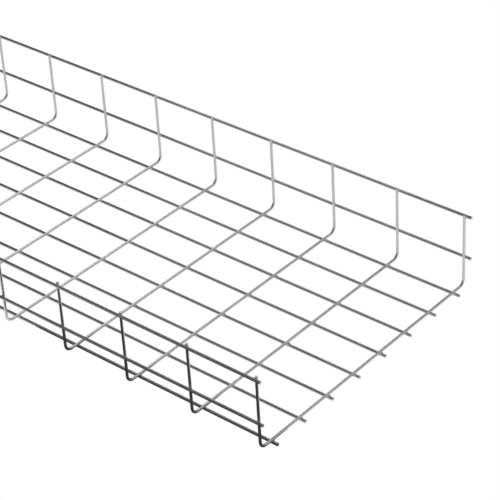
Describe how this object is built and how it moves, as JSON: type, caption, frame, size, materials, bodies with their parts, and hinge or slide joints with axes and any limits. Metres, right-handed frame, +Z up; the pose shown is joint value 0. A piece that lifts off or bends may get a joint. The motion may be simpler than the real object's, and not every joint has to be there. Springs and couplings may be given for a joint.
{
  "type": "wire mesh cable basket",
  "caption": "U-shaped welded steel wire tray with a mesh floor and low mesh side walls, laid end to end to carry cable runs.",
  "frame": {"origin": "on the floor plane that the floor's long wires rest on, under the middle of the tray's length and width", "axes": "+X along the tray, +Y across it to the far side wall, +Z up out of the open top"},
  "size_m": [3.017, 0.4, 0.106],
  "materials": {
    "long_wire": "bright zinc-plated drawn steel wire, long wires",
    "cross_wire": "bright zinc-plated drawn steel wire, bent cross wires"
  },
  "bodies": {
    "root": {"floor_wire_1": "long_wire", "floor_wire_2": "long_wire", "floor_wire_3": "long_wire", "floor_wire_4": "long_wire", "floor_wire_5": "long_wire", "floor_wire_6": "long_wire", "floor_wire_7": "long_wire", "floor_wire_8": "long_wire", "near_side_wire_lower": "long_wire", "near_side_wire_top": "long_wire", "far_side_wire_lower": "long_wire", "far_side_wire_top": "long_wire", "cross_wire_01": "cross_wire", "cross_wire_02": "cross_wire", "cross_wire_03": "cross_wire", "cross_wire_04": "cross_wire", "cross_wire_05": "cross_wire", "cross_wire_06": "cross_wire", "cross_wire_07": "cross_wire", "cross_wire_08": "cross_wire", "cross_wire_09": "cross_wire", "cross_wire_10": "cross_wire", "cross_wire_11": "cross_wire", "cross_wire_12": "cross_wire", "cross_wire_13": "cross_wire", "cross_wire_14": "cross_wire", "cross_wire_15": "cross_wire", "cross_wire_16": "cross_wire", "cross_wire_17": "cross_wire", "cross_wire_18": "cross_wire", "cross_wire_19": "cross_wire", "cross_wire_20": "cross_wire", "cross_wire_21": "cross_wire", "cross_wire_22": "cross_wire", "cross_wire_23": "cross_wire", "cross_wire_24": "cross_wire", "cross_wire_25": "cross_wire", "cross_wire_26": "cross_wire", "cross_wire_27": "cross_wire", "cross_wire_28": "cross_wire", "cross_wire_29": "cross_wire", "cross_wire_30": "cross_wire", "cross_wire_31": "cross_wire"}
  },
  "joints": []
}
